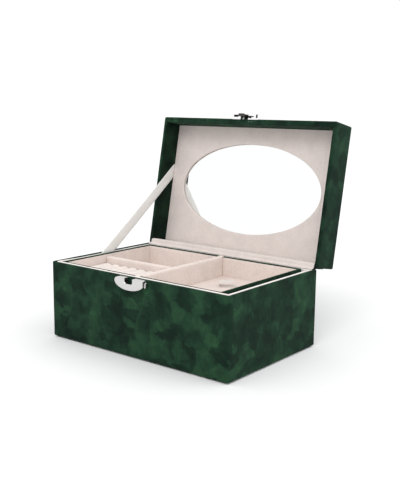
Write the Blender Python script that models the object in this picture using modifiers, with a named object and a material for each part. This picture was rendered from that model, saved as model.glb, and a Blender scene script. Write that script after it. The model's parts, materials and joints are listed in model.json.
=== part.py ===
"""A two-layer velvet jewellery case: wrapped board base with a half-moon latch, a lift-out tray, a mirror lid.

Metres, +Z up. The origin is the middle of the base's underside; +X is the case's right, -Y its front.
The lid is placed as if closed, on an empty on the hinge line, which is then turned to the open rest pose.
"""

import math

import bmesh
import bpy

# Driving dimensions
CASE_WIDTH = 0.230
CASE_DEPTH = 0.150
BASE_HEIGHT = 0.0807
LID_HEIGHT = 0.033
LID_OPEN_ANGLE = math.radians(100.8)

GAP = 0.0003  # between pieces that touch
VELVET = 0.0006  # outer cloth of base and lid
CORNER_RADIUS = 0.0015  # of the wrapped edges
BASE_BOARD = 0.0020
LID_BOARD = 0.0018
LINER = 0.0022  # cloth-covered card inside the base walls
LEDGE = 0.0030
RIGHT_LEDGE = 0.0120
RIM_GAP = 0.0009  # between the closed lid and the base

TRAY_LEFT = -0.1070
TRAY_RIGHT = 0.1010
TRAY_HALF_DEPTH = 0.0682
TRAY_BOTTOM = 0.0560
TRAY_TOP = 0.0808
TRAY_SKIN = 0.0004
TRAY_BOARD = 0.0013
DIVIDER_HALF = 0.0033
CROSS_FRONT = -0.0070
CROSS_BACK = -0.0010
ROLL_COUNT = 8
ROLL_TOP = 0.0713
ROLL_SIDES = 20

MAT_DEPTH = 0.0244  # from the lid's rim to the mat round the mirror
MAT_THICKNESS = 0.0022
MIRROR_THICKNESS = 0.0020
OVAL_HALF = (0.0935, 0.0505)
OVAL_SIDES = 56
MIRROR_HALF = (0.0990, 0.0580)
CLOTH = 0.0004  # hinge cloths and the ribbon

RIBBON_WIDTH = 0.0120
RIBBON_X = -0.1086
RIBBON_FOOT = (-0.0023, 0.0790)  # y, z where it leaves the base
RIBBON_HEAD_FROM_HINGE = 0.0898

LATCH_HALF_WIDTH = 0.01825
LATCH_TOP = 0.0804
LATCH_BOTTOM = 0.0687
LATCH_SHOULDER = 0.0033
NOTCH_HALF = 0.0050
NOTCH_BOTTOM = 0.0732
LATCH_PROUD = 0.0063  # of the velvet's face
LATCH_PLATE = 0.0008
STUD_X = 0.0120
STUD_RADIUS = 0.0012
STUD_HOLE_RADIUS = 0.0015

# Worked out from the above
HALF_W = CASE_WIDTH / 2
HALF_D = CASE_DEPTH / 2
BOARD_INSET = VELVET + GAP
LINER_INSET = BOARD_INSET + BASE_BOARD + GAP
INNER_INSET = LINER_INSET + LINER
LEDGE_INSET = INNER_INSET + GAP
FLOOR_BOARD = (0.0020, 0.0046)
FLOOR_PAD = (0.0049, 0.0074)
LEDGE_TOP = TRAY_BOTTOM - GAP
LID_RIM = BASE_HEIGHT + RIM_GAP
LID_TOP = LID_RIM + LID_HEIGHT
LID_LINING_INSET = BOARD_INSET + LID_BOARD + GAP
LID_INNER_INSET = LID_LINING_INSET + CLOTH
HINGE_Y = HALF_D + GAP
HINGE_Z = BASE_HEIGHT + RIM_GAP / 2
MAT_FACE = LID_RIM + MAT_DEPTH
MIRROR_FACE = MAT_FACE + MAT_THICKNESS + GAP
TRAY_INNER_INSET = TRAY_SKIN + GAP + TRAY_BOARD + GAP + TRAY_SKIN
PAD_BOTTOM = TRAY_BOTTOM + 0.0022
PAD_TOP = PAD_BOTTOM + 0.0006
LATCH_BACK = -HALF_D - GAP
LATCH_FACE = -HALF_D - LATCH_PROUD


def clear_scene():
    for obj in list(bpy.data.objects):
        bpy.data.objects.remove(obj)


def new_collection(name):
    collection = bpy.data.collections.new(name)
    bpy.context.scene.collection.children.link(collection)
    return collection


def new_material(name, colour, roughness, metallic=0.0):
    material = bpy.data.materials.new(name)
    material.use_nodes = True
    shader = material.node_tree.nodes["Principled BSDF"]
    shader.inputs["Base Color"].default_value = (*colour, 1.0)
    shader.inputs["Roughness"].default_value = roughness
    shader.inputs["Metallic"].default_value = metallic
    material.diffuse_color = (*colour, 1.0)
    return material


clear_scene()
CASE = new_collection("travel_jewelry_case")
CUTTERS = new_collection("cutters")
CUTTERS.hide_render = True

GREEN_VELVET = new_material("green_velvet", (0.035, 0.085, 0.052), 0.95)
BEIGE_SUEDE = new_material("beige_suede", (0.66, 0.56, 0.49), 0.95)
BOARD = new_material("board", (0.45, 0.36, 0.25), 0.85)
FELT = new_material("felt", (0.02, 0.03, 0.025), 1.0)
FOAM = new_material("ring_foam", (0.68, 0.58, 0.51), 0.95)
CHROME = new_material("chrome", (0.75, 0.75, 0.76), 0.18, 1.0)
SPRING_STEEL = new_material("spring_steel", (0.55, 0.55, 0.56), 0.35, 1.0)
MIRROR_GLASS = new_material("mirror", (0.9, 0.92, 0.92), 0.02, 1.0)
RIBBON = new_material("satin_ribbon", (0.80, 0.75, 0.68), 0.45)


def new_axis(name, location):
    """An empty on a joint's axis, which carries the pieces that move on it."""
    axis = bpy.data.objects.new(name, None)
    axis.location = location
    CASE.objects.link(axis)
    bpy.context.view_layer.update()
    return axis


def add_object(name, mesh, centre, material=None, axis=None):
    """Places a mesh that is built round its own centre; without a material it is a cutter."""
    obj = bpy.data.objects.new(name, mesh)
    obj.location = centre
    if material is None:
        obj.display_type = "WIRE"
        obj.hide_render = True
        CUTTERS.objects.link(obj)
    else:
        mesh.materials.append(material)
        CASE.objects.link(obj)
    if axis is not None:
        obj.parent = axis
        obj.matrix_parent_inverse = axis.matrix_world.inverted()
    return obj


def block(name, low, high, material=None, axis=None, round_edges=0.0):
    """A box between two corners, its edges rounded if asked."""
    mesh = bpy.data.meshes.new(name)
    shape = bmesh.new()
    bmesh.ops.create_cube(shape, size=1.0)
    bmesh.ops.scale(shape, vec=[b - a for a, b in zip(low, high)], verts=shape.verts)
    shape.to_mesh(mesh)
    shape.free()
    centre = [(a + b) / 2 for a, b in zip(low, high)]
    obj = add_object(name, mesh, centre, material, axis)
    if round_edges:
        bevel = obj.modifiers.new("rounded_edges", "BEVEL")
        bevel.width = round_edges
        bevel.segments = 3
    return obj


def rod(name, centre, radius, length, direction, sides, material=None, axis=None):
    """A capped cylinder along X, Y or Z."""
    mesh = bpy.data.meshes.new(name)
    shape = bmesh.new()
    bmesh.ops.create_cone(
        shape, cap_ends=True, segments=sides, radius1=radius, radius2=radius, depth=length
    )
    shape.to_mesh(mesh)
    shape.free()
    obj = add_object(name, mesh, centre, material, axis)
    quarter = math.pi / 2
    obj.rotation_euler = {"X": (0, quarter, 0), "Y": (quarter, 0, 0), "Z": (0, 0, 0)}[direction]
    mesh.shade_smooth()
    mesh.set_sharp_from_angle(angle=math.radians(40))
    return obj


def cut(obj, cutter):
    boolean = obj.modifiers.new("cut_" + cutter.name, "BOOLEAN")
    boolean.operation = "DIFFERENCE"
    boolean.solver = "EXACT"
    boolean.object = cutter


def join(obj, piece):
    boolean = obj.modifiers.new("join_" + piece.name, "BOOLEAN")
    boolean.operation = "UNION"
    boolean.solver = "EXACT"
    boolean.object = piece


def outline_mesh(name, points, thickness):
    """A flat outline in local XY, extruded to both sides, as a closed mesh."""
    curve = bpy.data.curves.new(name, "CURVE")
    curve.dimensions = "2D"
    curve.fill_mode = "BOTH"
    curve.extrude = thickness / 2
    spline = curve.splines.new("POLY")
    spline.points.add(len(points) - 1)
    for point, (x, y) in zip(spline.points, points):
        point.co = (x, y, 0, 1)
    spline.use_cyclic_u = True
    source = bpy.data.objects.new(name + "_curve", curve)
    CASE.objects.link(source)
    bpy.context.view_layer.update()
    evaluated = source.evaluated_get(bpy.context.evaluated_depsgraph_get())
    mesh = bpy.data.meshes.new_from_object(evaluated)
    bpy.data.objects.remove(source)
    bpy.data.curves.remove(curve)
    mesh.name = name
    shape = bmesh.new()
    shape.from_mesh(mesh)
    bmesh.ops.remove_doubles(shape, verts=shape.verts, dist=1e-6)
    bmesh.ops.recalc_face_normals(shape, faces=shape.faces)
    shape.to_mesh(mesh)
    shape.free()
    return mesh


def front_plate(name, points, y_range, material=None, axis=None):
    """An outline of (x, z) points, extruded between two places on Y."""
    mesh = outline_mesh(name, points, y_range[1] - y_range[0])
    obj = add_object(name, mesh, (0, sum(y_range) / 2, 0), material, axis)
    obj.rotation_euler = (math.pi / 2, 0, 0)
    return obj


def side_profile(name, points, x_range, material):
    """An outline of (y, z) points, extruded between two places on X."""
    mesh = outline_mesh(name, points, x_range[1] - x_range[0])
    obj = add_object(name, mesh, (sum(x_range) / 2, 0, 0), material)
    obj.rotation_euler = (math.pi / 2, 0, math.pi / 2)
    return obj


def arc(centre, radius, start, end, steps):
    """Points on a circle or, with two radii, an ellipse; the angles are in degrees."""
    radii = radius if isinstance(radius, tuple) else (radius, radius)
    angles = [math.radians(start + (end - start) * i / steps) for i in range(steps + 1)]
    return [(centre[0] + radii[0] * math.cos(a), centre[1] + radii[1] * math.sin(a)) for a in angles]


def wrap(name, low, high, skin, material, axis=None, top_lip=None, bottom_lip=None, radius=0.0):
    """Cloth round a box's sides; a lip says how far it turns in over an open top or bottom."""
    shell = block(name, low, high, material, axis, round_edges=radius)
    inside = block(
        name + "_inside", [a + skin for a in low], [b - skin for b in high], axis=axis
    )
    cut(shell, inside)
    for side, lip in (("top", top_lip), ("bottom", bottom_lip)):
        if lip is None:
            continue
        reach = 10 * skin
        z_range = (high[2] - reach, high[2] + reach) if side == "top" else (low[2] - reach, low[2] + reach)
        mouth = block(
            f"{name}_{side}_mouth",
            (low[0] + lip, low[1] + lip, z_range[0]),
            (high[0] - lip, high[1] - lip, z_range[1]),
            axis=axis,
        )
        cut(shell, mouth)
    return shell


def sleeve(name, low, high, skin, material, axis=None):
    """A thin lining round the inside of four walls, open at both ends."""
    lining = block(name, low, high, material, axis)
    core = block(
        name + "_core",
        (low[0] + skin, low[1] + skin, low[2] - skin),
        (high[0] - skin, high[1] - skin, high[2] + skin),
        axis=axis,
    )
    cut(lining, core)
    return lining


def four_walls(prefix, suffix, low, high, thickness, material, axis=None, round_edges=0.0):
    """Front and back boards run the full width; left and right boards stand between them."""
    (x0, y0, z0), (x1, y1, z1) = low, high
    t = thickness
    spans = {
        "front": ((x0, y0, z0), (x1, y0 + t, z1)),
        "back": ((x0, y1 - t, z0), (x1, y1, z1)),
        "left": ((x0, y0 + t + GAP, z0), (x0 + t, y1 - t - GAP, z1)),
        "right": ((x1 - t, y0 + t + GAP, z0), (x1, y1 - t - GAP, z1)),
    }
    return {
        side: block(f"{prefix}_{side}_{suffix}", a, b, material, axis, round_edges)
        for side, (a, b) in spans.items()
    }


def half_moon(flat, curved, shoulder, notch_half, notch_end):
    """A half-moon with its straight edge at z = flat and a notch in it, going round from the right."""
    out = 1 if flat > curved else -1  # the straight edge is on top, or below
    crown = abs(flat - curved) - shoulder
    middle = flat - out * shoulder
    corner = LATCH_HALF_WIDTH - shoulder
    points = arc((corner, middle), (shoulder, out * shoulder), 0, 90, 6)
    points += [(notch_half, flat), (notch_half, notch_end + out * 0.001)]
    points += [(notch_half - 0.001, notch_end), (0.001 - notch_half, notch_end)]
    points += [(-notch_half, notch_end + out * 0.001), (-notch_half, flat)]
    points += arc((-corner, middle), (shoulder, out * shoulder), 90, 180, 6)
    points += arc((0, middle), (LATCH_HALF_WIDTH, out * crown), 180, 360, 28)[1:-1]
    return points


def opened(y, z):
    """Where a point of the closed lid is once the lid is open, as (y, z)."""
    dy, dz = y - HINGE_Y, z - HINGE_Z
    cos, sin = math.cos(LID_OPEN_ANGLE), math.sin(LID_OPEN_ANGLE)
    return (HINGE_Y + dy * cos + dz * sin, HINGE_Z - dy * sin + dz * cos)


def strip_profile(path, thickness):
    """The outline of a strip of even thickness that follows a path of (y, z) points."""
    left, right = [], []
    for i, (y, z) in enumerate(path):
        before = path[max(i - 1, 0)]
        after = path[min(i + 1, len(path) - 1)]
        dy, dz = after[0] - before[0], after[1] - before[1]
        length = math.hypot(dy, dz)
        side = (-dz / length * thickness / 2, dy / length * thickness / 2)
        left.append((y + side[0], z + side[1]))
        right.append((y - side[0], z - side[1]))
    return left + right[::-1]


def inset_box(inset, z0, z1):
    return (inset - HALF_W, inset - HALF_D, z0), (HALF_W - inset, HALF_D - inset, z1)


def stud_holes(prefix, z, axis=None):
    """Cutters for the two holes that a latch half's studs pass through."""
    return [
        rod(f"{prefix}_{side}_hole", (x, -HALF_D, z), STUD_HOLE_RADIUS, 0.02, "Y", 12, axis=axis)
        for side, x in (("left", -STUD_X), ("right", STUD_X))
    ]


def add_studs(plate, prefix, z, y_range, axis=None):
    for side, x in (("left", -STUD_X), ("right", STUD_X)):
        centre = (x, sum(y_range) / 2, z)
        length = y_range[1] - y_range[0]
        join(plate, rod(f"{prefix}_{side}_stud", centre, STUD_RADIUS, length, "Y", 12, axis=axis))


# Base
def make_base():
    z_rim = BASE_HEIGHT
    velvet = wrap(
        "base_velvet_wrap", *inset_box(0, 0.0011, z_rim), VELVET, GREEN_VELVET,
        top_lip=LINER_INSET - GAP, bottom_lip=0.008, radius=CORNER_RADIUS,
    )
    walls = four_walls(
        "base", "board", *inset_box(BOARD_INSET, FLOOR_PAD[0], z_rim - VELVET - GAP),
        BASE_BOARD, BOARD,
    )
    for hole in stud_holes("latch", 0.0757):
        cut(velvet, hole)
        cut(walls["front"], hole)
    block("base_floor_board", *inset_box(BOARD_INSET, *FLOOR_BOARD), BOARD)
    block("base_bottom_felt", *inset_box(0.0025, 0, 0.0008), FELT)
    four_walls(
        "base", "liner", *inset_box(LINER_INSET, FLOOR_PAD[0], z_rim - 0.0002),
        LINER, BEIGE_SUEDE, round_edges=0.0006,
    )
    block("base_floor_pad", *inset_box(LEDGE_INSET, *FLOOR_PAD), BEIGE_SUEDE, round_edges=0.0005)
    ledge_bottom = FLOOR_PAD[1] + GAP
    low, high = inset_box(LEDGE_INSET, ledge_bottom, LEDGE_TOP)
    inner_y = high[1] - LEDGE - GAP
    block("tray_ledge_front", low, (high[0], low[1] + LEDGE, LEDGE_TOP), BEIGE_SUEDE)
    block("tray_ledge_back", (low[0], high[1] - LEDGE, ledge_bottom), high, BEIGE_SUEDE)
    block(
        "tray_ledge_left", (low[0], -inner_y, ledge_bottom), (low[0] + LEDGE, inner_y, LEDGE_TOP),
        BEIGE_SUEDE,
    )
    block(
        "tray_ledge_right", (high[0] - RIGHT_LEDGE, -inner_y, ledge_bottom),
        (high[0], inner_y, LEDGE_TOP), BEIGE_SUEDE,
    )


def make_hinge_cloths():
    reach = HALF_W - 0.003
    outer = HINGE_Y + CLOTH
    fold = math.tan((math.pi - LID_OPEN_ANGLE) / 2)
    side_profile(
        "hinge_velvet",
        [
            (HINGE_Y, 0.062),
            (HINGE_Y, HINGE_Z),
            opened(HINGE_Y, HINGE_Z + 0.018),
            opened(outer, HINGE_Z + 0.018),
            (outer, HINGE_Z - CLOTH / fold),
            (outer, 0.062),
        ],
        (-reach, reach),
        GREEN_VELVET,
    )
    lining_y = HALF_D - LID_INNER_INSET - GAP - CLOTH / 2
    path = [
        (HALF_D - INNER_INSET + 0.0003, HINGE_Z),
        (HINGE_Y - 0.0012, HINGE_Z),
        (HINGE_Y - 0.0004, HINGE_Z + 0.0003),
        opened(HINGE_Y - 0.0012, HINGE_Z),
        opened(lining_y + 0.0007, HINGE_Z),
        opened(lining_y, HINGE_Z + 0.0008),
        opened(lining_y, MAT_FACE - 2 * GAP),
    ]
    side_profile("hinge_cloth_inner", strip_profile(path, CLOTH), (-0.1108, 0.1108), BEIGE_SUEDE)


def make_ribbon_stay():
    """A taut ribbon in a plane of constant X, with its tail tucked beside the tray."""
    foot_y, foot_z = RIBBON_FOOT
    head_y, head_z = opened(HINGE_Y - RIBBON_HEAD_FROM_HINGE, MAT_FACE - 0.0052)
    length = math.hypot(head_y - foot_y, head_z - foot_z)
    side_y = -(head_z - foot_z) / length * RIBBON_WIDTH / 2
    side_z = (head_y - foot_y) / length * RIBBON_WIDTH / 2
    side_profile(
        "ribbon_stay",
        [
            (foot_y - RIBBON_WIDTH / 2, foot_z - 0.011),
            (foot_y + RIBBON_WIDTH / 2, foot_z - 0.011),
            (foot_y - side_y, foot_z - side_z),
            (head_y - side_y, head_z - side_z),
            (head_y + side_y, head_z + side_z),
            (foot_y + side_y, foot_z + side_z),
        ],
        (RIBBON_X - CLOTH / 2, RIBBON_X + CLOTH / 2),
        RIBBON,
    )


# Latch on the base
BAR_Z = (0.0743, 0.0776)
BAR_Y = (LATCH_FACE + 0.0021, LATCH_BACK - LATCH_PLATE - 0.0006)
SPRING_Z = 0.07305
SPRING_X = (0.0073, 0.0117)
SPRING_RADIUS = 0.0007
SPRING_WIRE = 0.00015
SPRING_TURNS = 5


def make_latch():
    outline = half_moon(LATCH_TOP, LATCH_BOTTOM, LATCH_SHOULDER, NOTCH_HALF, NOTCH_BOTTOM)
    body_back = LATCH_BACK - LATCH_PLATE - GAP
    body = front_plate("latch_body", outline, (LATCH_FACE, body_back), CHROME)
    channel_y = (BAR_Y[0] - GAP, body_back + 0.001)
    cut(body, block(
        "bar_channel", (NOTCH_HALF - 0.001, channel_y[0], BAR_Z[0] - GAP),
        (0.025, channel_y[1], BAR_Z[1] + GAP),
    ))
    cut(body, block(
        "spring_pocket", (0.0057, channel_y[0], 0.0719), (0.0120, channel_y[1], BAR_Z[0]),
    ))
    plate = front_plate("latch_back_plate", outline, (LATCH_BACK - LATCH_PLATE, LATCH_BACK), CHROME)
    add_studs(plate, "latch", 0.0757, (LATCH_BACK - 0.0005, LINER_INSET - HALF_D - 0.0002))

    axis = new_axis("latch_slide_axis", (LATCH_HALF_WIDTH, sum(BAR_Y) / 2, sum(BAR_Z) / 2))
    knob_x = LATCH_HALF_WIDTH + 0.0004
    slider = [
        (0.0034, BAR_Z[0] + 0.0014),
        (0.0034, BAR_Z[1] - 0.0012),
        (0.0048, BAR_Z[1]),
        (knob_x, BAR_Z[1]),
        (knob_x, BAR_Z[1] + 0.0014),
        (knob_x + 0.0018, BAR_Z[1] + 0.0014),
        (knob_x + 0.0018, BAR_Z[0] - 0.0017),
        (knob_x, BAR_Z[0] - 0.0017),
        (knob_x, BAR_Z[0]),
        (0.0070, BAR_Z[0]),
        (0.0070, SPRING_Z - 0.0008),
        (0.0060, SPRING_Z - 0.0008),
        (0.0060, BAR_Z[0] + 0.0014),
    ]
    front_plate("latch_slider", slider, BAR_Y, CHROME, axis)
    make_latch_spring(sum(BAR_Y) / 2)


def make_latch_spring(y):
    """A compression coil along X, between the slider's tab and the pocket's end."""
    steps = 10 * SPRING_TURNS
    length = SPRING_X[1] - SPRING_X[0] - 2 * SPRING_WIRE
    curve = bpy.data.curves.new("latch_spring", "CURVE")
    curve.dimensions = "3D"
    curve.bevel_depth = SPRING_WIRE
    curve.bevel_resolution = 2
    curve.use_fill_caps = True
    spline = curve.splines.new("POLY")
    spline.points.add(steps)
    for i, point in enumerate(spline.points):
        angle = 2 * math.pi * SPRING_TURNS * i / steps
        along = SPRING_X[0] + SPRING_WIRE + length * i / steps
        point.co = (along, SPRING_RADIUS * math.cos(angle), SPRING_RADIUS * math.sin(angle), 1)
    spring = bpy.data.objects.new("latch_spring", curve)
    spring.location = (0, y, SPRING_Z)
    curve.materials.append(SPRING_STEEL)
    CASE.objects.link(spring)


# Tray
def make_tray():
    axis = new_axis("tray_lift_axis", ((TRAY_LEFT + TRAY_RIGHT) / 2, 0, TRAY_BOTTOM))

    def tray_box(inset, z0, z1):
        y = TRAY_HALF_DEPTH - inset
        return (TRAY_LEFT + inset, -y, z0), (TRAY_RIGHT - inset, y, z1)

    board_inset = TRAY_SKIN + GAP
    lining_inset = board_inset + TRAY_BOARD + GAP
    board_top = TRAY_TOP - TRAY_SKIN - GAP
    wrap(
        "tray_velvet_wrap", *tray_box(0, TRAY_BOTTOM, TRAY_TOP), TRAY_SKIN, GREEN_VELVET, axis,
        top_lip=lining_inset - GAP, bottom_lip=0.006, radius=0.0007,
    )
    floor_z = (TRAY_BOTTOM + TRAY_SKIN + GAP, PAD_BOTTOM - GAP)
    block("tray_floor_board", *tray_box(board_inset, *floor_z), BOARD, axis)
    four_walls(
        "tray", "board", *tray_box(board_inset, PAD_BOTTOM, board_top), TRAY_BOARD, BOARD, axis
    )
    sleeve(
        "tray_lining", *tray_box(lining_inset, PAD_BOTTOM, TRAY_TOP), TRAY_SKIN, BEIGE_SUEDE, axis
    )
    make_tray_furniture(axis)


def make_tray_furniture(axis):
    left = TRAY_LEFT + TRAY_INNER_INSET + GAP
    right = TRAY_RIGHT - TRAY_INNER_INSET - GAP
    depth = TRAY_HALF_DEPTH - TRAY_INNER_INSET - GAP
    above_pads = PAD_TOP + GAP
    inner_left = -DIVIDER_HALF - GAP

    block(
        "long_divider", (-DIVIDER_HALF, -depth, PAD_BOTTOM), (DIVIDER_HALF, depth, TRAY_TOP + 0.0002),
        BEIGE_SUEDE, axis, round_edges=0.0022,
    )
    block(
        "cross_divider", (left, CROSS_FRONT, above_pads), (inner_left, CROSS_BACK, TRAY_TOP - 0.0029),
        BEIGE_SUEDE, axis, round_edges=0.0020,
    )
    block("tray_pad_left", (left, -depth, PAD_BOTTOM), (inner_left, depth, PAD_TOP), BEIGE_SUEDE, axis)
    block(
        "tray_pad_right", (DIVIDER_HALF + GAP, -depth, PAD_BOTTOM), (right, depth, PAD_TOP),
        BEIGE_SUEDE, axis,
    )

    roll_front = -depth + GAP
    roll_back = CROSS_FRONT - GAP
    pitch = (inner_left + GAP - (left - GAP)) / ROLL_COUNT
    radius = (ROLL_TOP - above_pads) / 2
    for i in range(ROLL_COUNT):
        centre = (left - GAP + (i + 0.5) * pitch, (roll_front + roll_back) / 2, above_pads + radius)
        rod(
            f"ring_roll_{i + 1}", centre, radius, roll_back - roll_front, "Y", ROLL_SIDES, FOAM, axis
        )
    make_pull_loop(axis)


LOOP_WIDTH = 0.008
LOOP_LENGTH = 0.018
LOOP_HEIGHT = 0.0052
LOOP_THICKNESS = 0.0008
LOOP_CENTRE = (0.0365, 0.0290)
LOOP_TURN = math.radians(40)


def make_pull_loop(axis):
    """A low arch of ribbon on the right compartment's floor, for lifting the tray."""
    half = LOOP_LENGTH / 2 - LOOP_THICKNESS
    rise = LOOP_HEIGHT - LOOP_THICKNESS / 2
    path = arc((0, 0), (half, rise), 180, 0, 12)
    mesh = outline_mesh("pull_loop", strip_profile(path, LOOP_THICKNESS), LOOP_WIDTH)
    loop = add_object("pull_loop", mesh, (*LOOP_CENTRE, PAD_TOP + 2 * GAP), RIBBON, axis)
    loop.rotation_euler = (math.pi / 2, 0, LOOP_TURN)


# Lid
def make_lid():
    axis = new_axis("lid_hinge_axis", (0, HINGE_Y, HINGE_Z))
    velvet = wrap(
        "lid_velvet_wrap", *inset_box(0, LID_RIM, LID_TOP), VELVET, GREEN_VELVET, axis,
        bottom_lip=LID_LINING_INSET - GAP, radius=CORNER_RADIUS,
    )
    top_board = (MIRROR_FACE + MIRROR_THICKNESS + GAP, LID_TOP - BOARD_INSET)
    walls = four_walls(
        "lid", "board", *inset_box(BOARD_INSET, LID_RIM + BOARD_INSET, top_board[0] - GAP),
        LID_BOARD, BOARD, axis,
    )
    block("lid_top_board", *inset_box(BOARD_INSET, *top_board), BOARD, axis)
    for hole in stud_holes("catch", LID_RIM + 0.0061, axis):
        cut(velvet, hole)
        cut(walls["front"], hole)
    sleeve(
        "lid_inner_velvet", *inset_box(LID_LINING_INSET, LID_RIM + 0.0002, top_board[0] - GAP),
        CLOTH, GREEN_VELVET, axis,
    )

    mat_reach = HALF_W - LID_INNER_INSET - GAP
    mat_depth = HALF_D - LID_INNER_INSET - GAP
    mat = block(
        "mirror_mat", (-mat_reach, -mat_depth, MAT_FACE), (mat_reach, mat_depth, MAT_FACE + MAT_THICKNESS),
        BEIGE_SUEDE, axis,
    )
    oval = rod("mat_oval", (0, 0, MAT_FACE), 1.0, 0.01, "Z", OVAL_SIDES, axis=axis)
    shape = bmesh.new()
    shape.from_mesh(oval.data)
    bmesh.ops.scale(shape, vec=(*OVAL_HALF, 1.0), verts=shape.verts)
    shape.to_mesh(oval.data)
    shape.free()
    cut(mat, oval)
    block(
        "mirror", (-MIRROR_HALF[0], -MIRROR_HALF[1], MIRROR_FACE),
        (*MIRROR_HALF, MIRROR_FACE + MIRROR_THICKNESS), MIRROR_GLASS, axis,
    )
    make_catch(axis)
    axis.rotation_euler = (-LID_OPEN_ANGLE, 0, 0)


def make_catch(axis):
    flat = LID_RIM + 0.0003
    socket_half = 0.0037
    socket_end = flat + 0.0046
    outline = half_moon(flat, flat + LATCH_TOP - LATCH_BOTTOM, LATCH_SHOULDER, socket_half, socket_end)
    plate = front_plate("catch_plate", outline, (LATCH_FACE, LATCH_BACK), CHROME, axis)
    add_studs(
        plate, "catch", LID_RIM + 0.0061, (LATCH_BACK - 0.0005, LID_LINING_INSET - HALF_D - 0.0003), axis
    )
    root_top = socket_end - GAP
    hook = [
        (-0.0022, root_top),
        (-0.0034, root_top - 0.0012),
        (-0.0034, 0.0748),
        (-0.0026, 0.0740),
        (0.0034, 0.0740),
        (0.0044, 0.0749),
        (0.0044, 0.0753),
        (0.0026, 0.0753),
        (0.0026, LID_RIM),
        (0.0034, LID_RIM),
        (0.0034, root_top - 0.0012),
        (0.0022, root_top),
    ]
    middle = (LATCH_FACE + LATCH_BACK) / 2
    front_plate("catch_hook", hook, (middle - 0.0015, middle + 0.0015), CHROME, axis)


make_base()
make_hinge_cloths()
make_ribbon_stay()
make_latch()
make_tray()
make_lid()
bpy.context.view_layer.update()
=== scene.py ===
"""Looks of a two-layer velvet jewellery case: cloth, cushions, ribbon, plated latch and mirror.

Metres, in the CAD's frame. The lid's pieces are made as if the lid were closed, then turned open with it.
"""

import json
import math

import bpy
from mathutils import Matrix, Vector, noise


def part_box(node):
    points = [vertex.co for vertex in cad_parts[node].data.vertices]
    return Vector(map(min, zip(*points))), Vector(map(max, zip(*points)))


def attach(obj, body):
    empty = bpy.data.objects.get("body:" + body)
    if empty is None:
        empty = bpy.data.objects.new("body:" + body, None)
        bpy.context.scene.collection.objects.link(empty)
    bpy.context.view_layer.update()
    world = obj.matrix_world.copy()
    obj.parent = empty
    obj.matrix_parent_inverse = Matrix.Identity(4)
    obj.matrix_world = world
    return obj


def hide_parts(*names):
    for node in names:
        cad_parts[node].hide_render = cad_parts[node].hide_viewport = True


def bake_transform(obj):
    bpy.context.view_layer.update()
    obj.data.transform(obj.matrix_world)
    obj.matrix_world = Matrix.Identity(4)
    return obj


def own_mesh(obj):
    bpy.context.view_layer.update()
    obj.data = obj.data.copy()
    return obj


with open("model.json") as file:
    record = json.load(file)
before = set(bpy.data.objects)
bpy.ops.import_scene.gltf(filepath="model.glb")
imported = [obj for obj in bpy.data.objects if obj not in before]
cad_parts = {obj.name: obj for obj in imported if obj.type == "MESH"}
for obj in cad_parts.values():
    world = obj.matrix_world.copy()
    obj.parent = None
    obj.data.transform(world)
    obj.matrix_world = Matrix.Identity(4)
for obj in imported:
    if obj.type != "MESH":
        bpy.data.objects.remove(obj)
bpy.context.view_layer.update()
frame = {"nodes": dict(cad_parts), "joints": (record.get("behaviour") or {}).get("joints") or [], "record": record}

# Cloth and card
VELVET = 0.0005
SUEDE = 0.0004
EDGE = 0.0013  # outer radius of cloth turned over a board's edge
SMALL_EDGE = 0.0006
CLOTH_STEP = 0.004  # between points along a wall
RIM_SHOW = 0.0008  # the lining stands this much higher at the front and on the right
VELVET_RIPPLE = 0.00010
VELVET_WAVES = (0.022, 0.022, 0.03)  # length of the ripples along each axis
SUEDE_RIPPLE = 0.00012
CARD_WAVES = (0.02, 0.02, 0.012)
LIP_EXTRA = 0.0013  # the base's left rim has a wider lip
RIM_EXTRA = 0.0007  # and stands higher

# Ribbon, in the left side of the case
RIBBON_WIDTH = 0.0120
RIBBON_FOOT_Y = -0.0023
RIBBON_HEAD = 0.0898  # from the hinge, along the mat
RIBBON_TAIL = 0.010
RIBBON_DRIFT = 0.0027  # sideways, from the gap beside the tray to the edge of the mat

# Latch
LATCH_BEVEL = 0.0006
LATCH_END = 0.0195  # half-width of the ellipse that the lower edge follows on the right
SHOULDER = 0.0033
NOTCH = 0.0050
NOTCH_FILLET = 0.0021
LATCH_LIP = 0.0064  # height of the notch's front lip above the latch's lowest point
CATCH_LIP = 0.0046
FRONT_SKIN = 0.0013  # of metal in front of the casting's hollows
BAR_DROP = 0.0014  # from the top of the bolt's knob to its bar
BAR_HEIGHT = 0.0033
BOLT_GAP = 0.0003

SIDES = ("front", "back", "left", "right")

# Camera and light
CAMERA_PLACE = (0.50206, -0.60672, 0.24530)
CAMERA_TARGET = (0.0214, 0.0, 0.1014)
CAMERA_ROLL = math.radians(0.639)
CAMERA_LENS = 56.24
CAMERA_SHIFT = (0.0018, -0.0036)
WORLD_LIGHT = 1.05

HINGE = next(joint for joint in frame["joints"] if joint["name"] == "lid_hinge")
PIVOT = Vector(HINGE["pos_m"])
LID_ANGLE = math.radians(HINGE["range_deg"][1])
LID_TURN = Matrix.Rotation(-LID_ANGLE, 4, "X")
LID_OPEN = Matrix.Translation(PIVOT) @ LID_TURN @ Matrix.Translation(-PIVOT)


def extent(points):
    """Lowest and highest corner of the box round some points."""
    low = Vector([min(p[i] for p in points) for i in range(3)])
    high = Vector([max(p[i] for p in points) for i in range(3)])
    return low, high


def closed_points(node):
    """Points of one of the lid's CAD nodes, as if the lid were closed."""
    back = LID_OPEN.inverted()
    return [back @ vertex.co for vertex in frame["nodes"][node].data.vertices]


def closed_box(node):
    return extent(closed_points(node))


def girth_of(low, high):
    return 2 * (high.x - low.x + high.y - low.y)


def joined_box(nodes):
    return extent([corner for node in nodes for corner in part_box(node)])


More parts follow.
